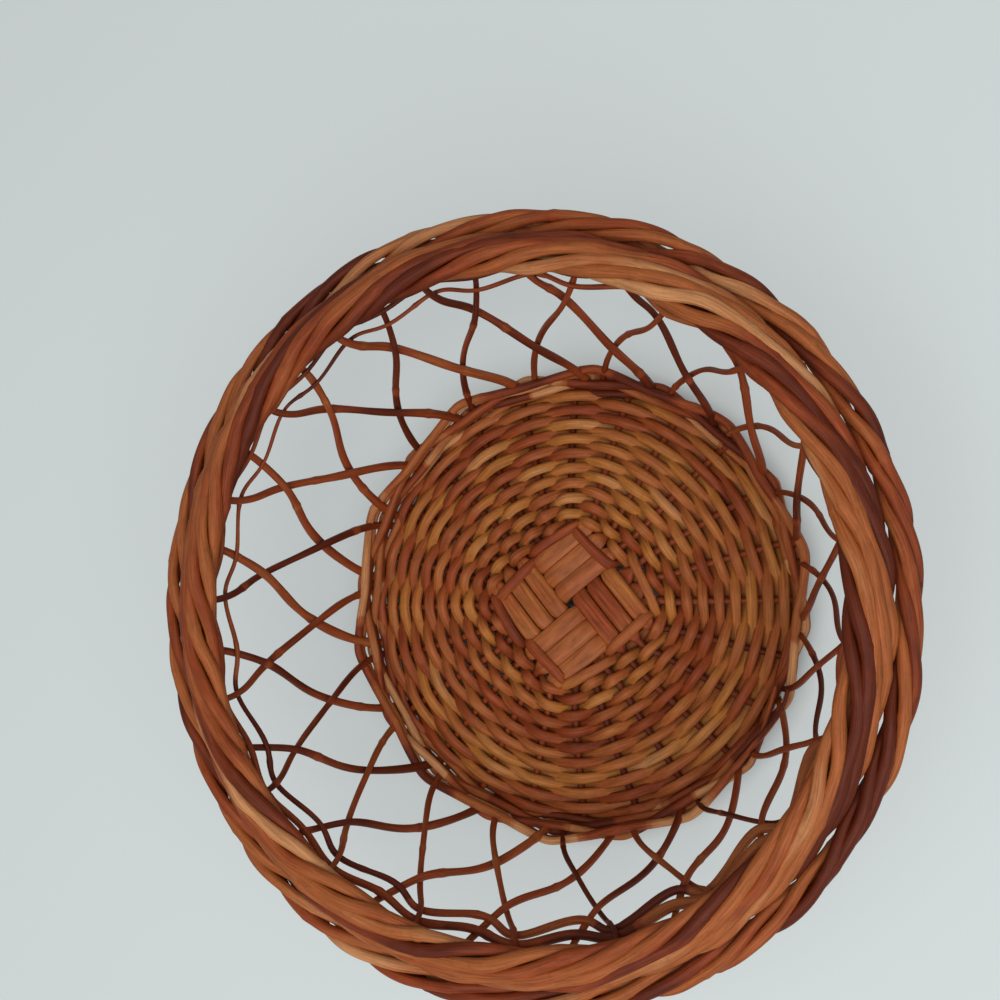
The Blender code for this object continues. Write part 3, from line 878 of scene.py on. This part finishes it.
class BasketRods(bpy.types.PropertyGroup):
    """How the rods differ from perfect ones."""

    swelling_share: bpy.props.FloatProperty(
        name="Swelling", description="How much a rod's thickness varies", default=0.16, min=0.0, max=0.5)
    swelling_reach: bpy.props.FloatProperty(
        name="Swelling length", description="The length of a rod's thick and thin stretches",
        default=0.011, min=0.001, unit="LENGTH")
    knot_spacing: bpy.props.FloatProperty(
        name="Knot spacing", description="The mean distance between a rod's knots",
        default=0.043, min=0.005, unit="LENGTH")
    knot_length: bpy.props.FloatProperty(
        name="Knot length", description="How long a knot is", default=0.0011, min=0.0002, unit="LENGTH")
    knot_height: bpy.props.FloatProperty(
        name="Knot height", description="How far a knot stands out",
        default=0.00022, min=0.0, unit="LENGTH")
    wander: bpy.props.FloatProperty(
        name="Wander", description="How far a rod strays from its course",
        default=0.0005, min=0.0, unit="LENGTH")
    stake_spread: bpy.props.FloatProperty(
        name="Stake spread", description="How much the stakes differ in thickness",
        default=0.07, min=0.0, max=0.5)
    stake_stoutness: bpy.props.FloatProperty(
        name="Stake stoutness", description="The stakes' mean thickness as a share of the packed ones'",
        default=0.90, min=0.5, max=1.5)
    stake_one_sidedness: bpy.props.FloatProperty(
        name="Stake unevenness", description="How much stouter the stakes of one side are than the mean",
        default=0.20, min=0.0, max=0.5)
    strand_width: bpy.props.FloatProperty(
        name="Border strand width", description="The width of a strand of the border's inner rope",
        default=0.0041, min=0.001, unit="LENGTH")
    strand_thickness: bpy.props.FloatProperty(
        name="Border strand thickness", description="The thickness of a strand of the border's inner rope",
        default=0.0036, min=0.001, unit="LENGTH")
    scallop_width: bpy.props.FloatProperty(
        name="Border scallop width", description="The width of a strand of the border's outer rope",
        default=0.0036, min=0.001, unit="LENGTH")
    scallop_thickness: bpy.props.FloatProperty(
        name="Border scallop thickness", description="The thickness of a strand of the border's outer rope",
        default=0.0032, min=0.001, unit="LENGTH")
    border_wander: bpy.props.FloatProperty(
        name="Border wander", description="How far a strand of the border strays from its course",
        default=0.0010, min=0.0, unit="LENGTH")
    weaver_width: bpy.props.FloatProperty(
        name="Weaver width", description="The width of the base's weaver",
        default=0.0035, min=0.0005, unit="LENGTH")
    weaver_thickness: bpy.props.FloatProperty(
        name="Weaver thickness", description="The thickness of the base's weaver",
        default=0.0023, min=0.0005, unit="LENGTH")
    upsett_thickness: bpy.props.FloatProperty(
        name="Upsett thickness", description="The thickness of each of the upsett's two rods",
        default=0.0028, min=0.0005, unit="LENGTH")
    flat_stick_width: bpy.props.FloatProperty(
        name="Flat stick width", description="The width of a flat base stick at the cross",
        default=0.0062, min=0.001, unit="LENGTH")
    round_stick_width: bpy.props.FloatProperty(
        name="Round stick width", description="The width of a grooved base stick at the cross",
        default=0.0057, min=0.001, unit="LENGTH")


class BasketColours(bpy.types.PropertyGroup):
    """The colours of the willow and the stage."""

    dark: bpy.props.FloatVectorProperty(
        name="Dark willow", description="The darkest tone of a rod", subtype="COLOR", size=3,
        default=linear("#561e09"))
    red: bpy.props.FloatVectorProperty(
        name="Red willow", description="The reddish tone of a rod", subtype="COLOR", size=3,
        default=linear("#843a19"))
    brown: bpy.props.FloatVectorProperty(
        name="Brown willow", description="The main tone of a rod", subtype="COLOR", size=3,
        default=linear("#965228"))
    gold: bpy.props.FloatVectorProperty(
        name="Golden willow", description="The golden tone of a rod", subtype="COLOR", size=3,
        default=linear("#a5662c"))
    pale: bpy.props.FloatVectorProperty(
        name="Pale willow", description="The palest tone of a rod", subtype="COLOR", size=3,
        default=linear("#b47c50"))
    floor: bpy.props.FloatVectorProperty(
        name="Floor", description="The floor's colour", subtype="COLOR", size=3,
        default=linear("#c4cccd"))
    even_floor: bpy.props.FloatVectorProperty(
        name="Even floor", description="The colour that the eye sees the floor drawn towards",
        subtype="COLOR", size=3, default=linear("#d8dfde"))


def rods():
    """The panel's sizes of the rods."""
    return bpy.context.scene.onion_basket_rods


def palette(*names):
    """The panel's colours of the given names, from the darkest tone of a willow to its palest."""
    colours = bpy.context.scene.onion_basket_colours
    return [tuple(getattr(colours, name)) for name in names]


def border_willow():
    return willow("varnished_border_willow", palette("dark", "red", "brown", "brown", "pale"), 0.54, 0.02)


def stake_willow():
    return willow("varnished_stake_willow", palette("dark", "dark", "red", "red", "brown"), 0.50, 0.03)


def weaver_willow():
    return willow("boiled_weaver_willow", palette("dark", "red", "brown", "gold", "pale"), 0.56, 0.04)


def slat_willow():
    return willow("split_slat_willow", palette("red", "red", "brown", "brown", "pale"), 0.50, 0.06)


# The pieces.

class BasketBaseSticks(bpy.types.Operator):
    """Adds the twelve sticks of the base, broad at the cross and thin as spokes"""

    bl_idname = "onion_basket.base_sticks"
    bl_label = "Base sticks"

    def execute(self, context):
        number = 0
        for flat in (True, False):
            kind = "flat" if flat else "round"
            width = rods().flat_stick_width if flat else rods().round_stick_width
            thickness = FLAT_STICK_THICKNESS if flat else ROUND_STICK_THICKNESS
            place = 0
            for bundle in (1.0, -1.0):
                for index in range(BUNDLE_STICK_COUNT):
                    place += 1
                    number += 1
                    line, spokes = stick_line(index, bundle, flat)
                    radii = [SPOKE_RADIUS] * len(line)
                    stick = draw_rod(f"base_{kind}_split_{place}", line, radii, 16 if flat else 24)
                    widths = [mix(width / 2.0 / SPOKE_RADIUS, 1.0, spoke) for spoke in spokes]
                    depths = [mix(thickness / 2.0 / SPOKE_RADIUS, 1.0, spoke) for spoke in spokes]
                    ups = [Vector((0.0, 0.0, 1.0))] * len(line)
                    powers = [mix(SLAT_CORNER_POWER, 1.0, spoke) for spoke in spokes] if flat else None
                    press_flat(stick, line, ups, widths, depths, 0.0 if flat else STICK_GROOVE, powers)
                    surface = slat_willow() if flat else weaver_willow()
                    tones = [mix(tone, SPOKE_TONE, spoke) for tone, spoke in zip(
                        even_tones(line, number, SLAT_TONE_SPREAD if flat else STICK_TONE_SPREAD), spokes)]
                    finish_rod(stick, line, radii, tones, number, surface, f"base_{kind}_stick_{place}")
        return {"FINISHED"}


class BasketBaseWeaver(bpy.types.Operator):
    """Adds the weaver that is chased round the base's spokes"""

    bl_idname = "onion_basket.base_weaver"
    bl_label = "Base weaver"

    def execute(self, context):
        sizes = rods()
        line = wander(weaver_line(6), sizes.wander / 3.0, WEAVER_WANDER_REACH, WEAVER_SEED)
        radii = grown_radii(line, [sizes.weaver_thickness / 2.0] * len(line), WEAVER_SEED, sizes)
        weaver = draw_rod("base_weaver_rod", line, radii, 10)
        wide = sizes.weaver_width / sizes.weaver_thickness
        press_flat(weaver, line, upward_normals(line), [wide] * len(line), [1.0] * len(line))
        strokes = stroke_tones(len(line), 3 * WEAVE_ROUND_COUNT, 0.0, WEAVER_SEED)
        tones = []
        for point, stroke in zip(line, strokes):
            # Painted shade: the weaver's tone is darker near the cross and lightens over WEAVE_SHADE_REACH.
            unshaded_share = ease((math.hypot(point.x, point.y) - WEAVE_START_DISTANCE) / WEAVE_SHADE_REACH)
            tones.append(mix(WEAVE_MEAN_TONE, stroke, WEAVE_TONE_SPREAD) * mix(WEAVE_SHADE, 1.0, unshaded_share))
        finish_rod(weaver, line, radii, tones, WEAVER_SEED, weaver_willow(), "base_weaver")
        return {"FINISHED"}


class BasketStakes(bpy.types.Operator):
    """Adds the forty stakes of the wall"""

    bl_idname = "onion_basket.stakes"
    bl_label = "Stakes"

    def execute(self, context):
        sizes = rods()
        top, _ = stake_end()
        families = (
            (1, "left", LEFT_STOUT_SIDE, LEFT_STAKE_SEED),
            (-1, "right", RIGHT_STOUT_SIDE, RIGHT_STAKE_SEED))
        for family, side, stout_side, first_seed in families:
            for index in range(STAKE_PAIR_COUNT):
                seed = first_seed + index
                turn = 2.0 * math.pi * index / STAKE_PAIR_COUNT
                line = wander(stake_line(family, turn), sizes.wander, STAKE_WANDER_REACH, seed)
                stoutness = random.Random(seed).uniform(-1.0, 1.0) * sizes.stake_spread
                away = stake_angle(family, top.y / 2.0) + turn - stout_side
                stoutness += sizes.stake_stoutness + sizes.stake_one_sidedness * math.cos(away)
                levels = [min(max(point.z, STAKE_RING_LEVEL), top.y) for point in line]
                radii = [stoutness * stake_radius(level) for level in levels]
                radii = grown_radii(line, radii, seed, sizes)
                stake = draw_rod(f"wall_stake_{side}_{index + 1:02d}", line, radii, 12)
                rest_on_floor(stake)
                tones = [mix(tone, 1.0, STAKE_KNOT_PALENESS * knot) for tone, knot in zip(
                    even_tones(line, seed, STAKE_TONE_SPREAD), knots(line, seed, sizes))]
                node = f"stake_{side}_{index + 1:02d}"
                finish_rod(stake, line, radii, tones, seed, stake_willow(), node)
        return {"FINISHED"}


class BasketUpsett(bpy.types.Operator):
    """Adds the stout rod woven round the stakes at the base's edge"""

    bl_idname = "onion_basket.upsett"
    bl_label = "Upsett"

    def execute(self, context):
        sizes = rods()
        course = softened(upsett_line(7), UPSETT_SOFTENING_COUNT)
        course = tucked(course, UPSETT_TUCK_POINT_COUNT, UPSETT_TUCK_DEPTH)
        for side, name, seed in ((-1.0, "lower", LOWER_UPSETT_SEED), (1.0, "upper", UPPER_UPSETT_SEED)):
            beside = Vector((0.0, 0.0, side * sizes.upsett_thickness * UPSETT_SPREAD_SHARE))
            line = wander([point + beside for point in course], sizes.wander / 2.0, RING_WANDER_REACH, seed)
            radii = [sizes.upsett_thickness / 2.0 * mix(1.0, UPSETT_TIP_SHARE, share)
                     for share in end_shares(line, UPSETT_TIP_POINT_COUNT)]
            radii = grown_radii(line, radii, seed, sizes)
            rod = draw_rod(f"upsett_round_{name}", line, radii, 12)
            tones = stroke_tones(len(line), 2 * UPSETT_ROUND_COUNT * STAKE_PAIR_COUNT, 0.0, seed)
            finish_rod(rod, line, radii, tones, seed, border_willow(), "upsett_rod")
        return {"FINISHED"}


class BasketFitch(bpy.types.Operator):
    """Adds the thin rod woven round the stakes under the border"""

    bl_idname = "onion_basket.fitch"
    bl_label = "Fitch"

    def execute(self, context):
        sizes = rods()
        course = softened(fitch_line(9), FITCH_SOFTENING_COUNT)
        line = wander(course, sizes.wander / 3.0, RING_WANDER_REACH, FITCH_SEED)
        radii = []
        for index, point in enumerate(line):
            stout = 1.0 - FITCH_SWELL * math.cos(math.atan2(point.y, point.x) - FITCH_THIN_SIDE)
            # It swells from its first round to its second over the middle sixth of its length.
            second_round = ease(index / (len(line) - 1) * 6.0 - 2.5)
            radii.append(FITCH_ROD_RADIUS * (stout * mix(1.0, FITCH_SECOND_ROUND_SHARE, second_round)))
        radii = grown_radii(line, radii, FITCH_SEED, sizes)
        rod = draw_rod("fitch_round", line, radii, 10)
        tones = stroke_tones(len(line), FITCH_ROUND_COUNT * STAKE_PAIR_COUNT, 0.0, FITCH_SEED)
        finish_rod(rod, line, radii, tones, FITCH_SEED, stake_willow(), "fitch_rod")
        return {"FINISHED"}


class BasketBorder(bpy.types.Operator):
    """Adds the border's two ropes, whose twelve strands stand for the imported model's five rods"""

    bl_idname = "onion_basket.border"
    bl_label = "Border"

    def execute(self, context):
        sizes = rods()
        ropes = (
            ("inner", INNER_STRAND_COUNT, INNER_TURN_COUNT, sizes.strand_width, sizes.strand_thickness,
             (INNER_OFFSET, INNER_HALF_WIDTH, INNER_HALF_DEPTH, INNER_SLOW_SHARE, INNER_TURN_POINT_COUNT)),
            ("outer", OUTER_STRAND_COUNT, OUTER_TURN_COUNT, sizes.scallop_width, sizes.scallop_thickness,
             (OUTER_OFFSET, OUTER_HALF_WIDTH, OUTER_HALF_DEPTH, OUTER_SLOW_SHARE, OUTER_TURN_POINT_COUNT)))
        number = 0
        for kind, count, turns, width, thickness, section in ropes:
            for index in range(count):
                seed = BORDER_SEED + number
                lag = 2.0 * math.pi * index / (count * turns)
                line, normals = border_line(BORDER_VISIBLE_SEAT + lag, turns, *section)
                line = wander(line, sizes.border_wander, BORDER_WANDER_REACH, seed)
                radii = grown_radii(line, [thickness / 2.0] * len(line), seed, sizes)
                strand = draw_rod(f"border_{kind}_strand_{index + 1}", line, radii, 14, closed=True)
                press_flat(strand, line, normals, [width / thickness] * len(line), [1.0] * len(line))
                tones = []
                for point, stroke in zip(line, stroke_tones(len(line), turns, BORDER_STROKE_START, seed)):
                    # Painted light and shade: the strands are paler on two opposite sides of the ring and
                    # darker between them.
                    side = math.atan2(point.y, point.x) - BORDER_PAINTED_LIGHT_SIDE
                    tones.append(stroke + BORDER_PAINTED_LIGHT_SWING * (math.cos(2.0 * side) - BORDER_PAINTED_SHADE_SHIFT))
                node = f"border_rod_{number % BORDER_ROD_COUNT + 1}"
                finish_rod(strand, line, radii, tones, seed, border_willow(), node)
                number += 1
        return {"FINISHED"}


class BasketStage(bpy.types.Operator):
    """Adds the floor, the lights and the camera"""

    bl_idname = "onion_basket.stage"
    bl_label = "Stage"

    def execute(self, context):
        colours = context.scene.onion_basket_colours
        bpy.ops.object.select_all(action="DESELECT")
        bpy.ops.mesh.primitive_plane_add(size=FLOOR_SIZE, location=(0.0, 0.0, 0.0))
        floor = context.object
        floor.name = "floor"
        floor.data.materials.append(floor_paper(tuple(colours.floor), tuple(colours.even_floor)))
        world = bpy.data.worlds.new("soft_room")
        world.use_nodes = True
        world.node_tree.nodes["Background"].inputs["Color"].default_value = ROOM_COLOUR
        world.node_tree.nodes["Background"].inputs["Strength"].default_value = ROOM_STRENGTH
        context.scene.world = world
        bpy.ops.object.light_add(type="AREA", location=LAMP_PLACE)
        lamp = context.object
        lamp.name = "ceiling_light"
        lamp.data.size = LAMP_SIZE
        lamp.data.energy = LAMP_POWER
        eye = CAMERA_EYE * RIM_RADIUS
        back = CAMERA_BACK.normalized()
        up = back.cross(CAMERA_RIGHT.normalized()).normalized()
        right = up.cross(back)
        bpy.ops.object.camera_add(location=eye)
        camera = context.object
        camera.name = "photo_camera"
        camera.matrix_world = Matrix.Translation(eye) @ Matrix((right, up, back)).transposed().to_4x4()
        camera.data.sensor_width = CAMERA_SENSOR_WIDTH
        camera.data.lens = CAMERA_LENS
        camera.data.clip_start = CAMERA_CLIP_START
        context.scene.camera = camera
        context.scene.view_settings.view_transform = "Standard"
        return {"FINISHED"}


class BasketPanel(bpy.types.Panel):
    """The basket's values and a button for each piece"""

    bl_idname = "VIEW3D_PT_onion_basket"
    bl_label = "Onion Basket"
    bl_space_type = "VIEW_3D"
    bl_region_type = "UI"
    bl_category = "Basket"

    def draw(self, context):
        layout = self.layout
        for group in (context.scene.onion_basket_rods, context.scene.onion_basket_colours):
            box = layout.box()
            for name in group.bl_rna.properties.keys():
                if name not in ("rna_type", "name"):
                    box.prop(group, name)
        for operator in PIECES:
            layout.operator(operator.bl_idname)


PIECES = (BasketBaseSticks, BasketBaseWeaver, BasketStakes, BasketUpsett, BasketFitch, BasketBorder,
          BasketStage)
CLASSES = (BasketRods, BasketColours, *PIECES, BasketPanel)


def register():
    for item in CLASSES:
        bpy.utils.register_class(item)
    bpy.types.Scene.onion_basket_rods = bpy.props.PointerProperty(type=BasketRods)
    bpy.types.Scene.onion_basket_colours = bpy.props.PointerProperty(type=BasketColours)


def unregister():
    del bpy.types.Scene.onion_basket_colours
    del bpy.types.Scene.onion_basket_rods
    for item in reversed(CLASSES):
        bpy.utils.unregister_class(item)


def main():
    register()
    bpy.ops.onion_basket.base_sticks()
    bpy.ops.onion_basket.base_weaver()
    bpy.ops.onion_basket.stakes()
    bpy.ops.onion_basket.upsett()
    bpy.ops.onion_basket.fitch()
    bpy.ops.onion_basket.border()
    bpy.ops.onion_basket.stage()


if __name__ == "__main__":
    main()
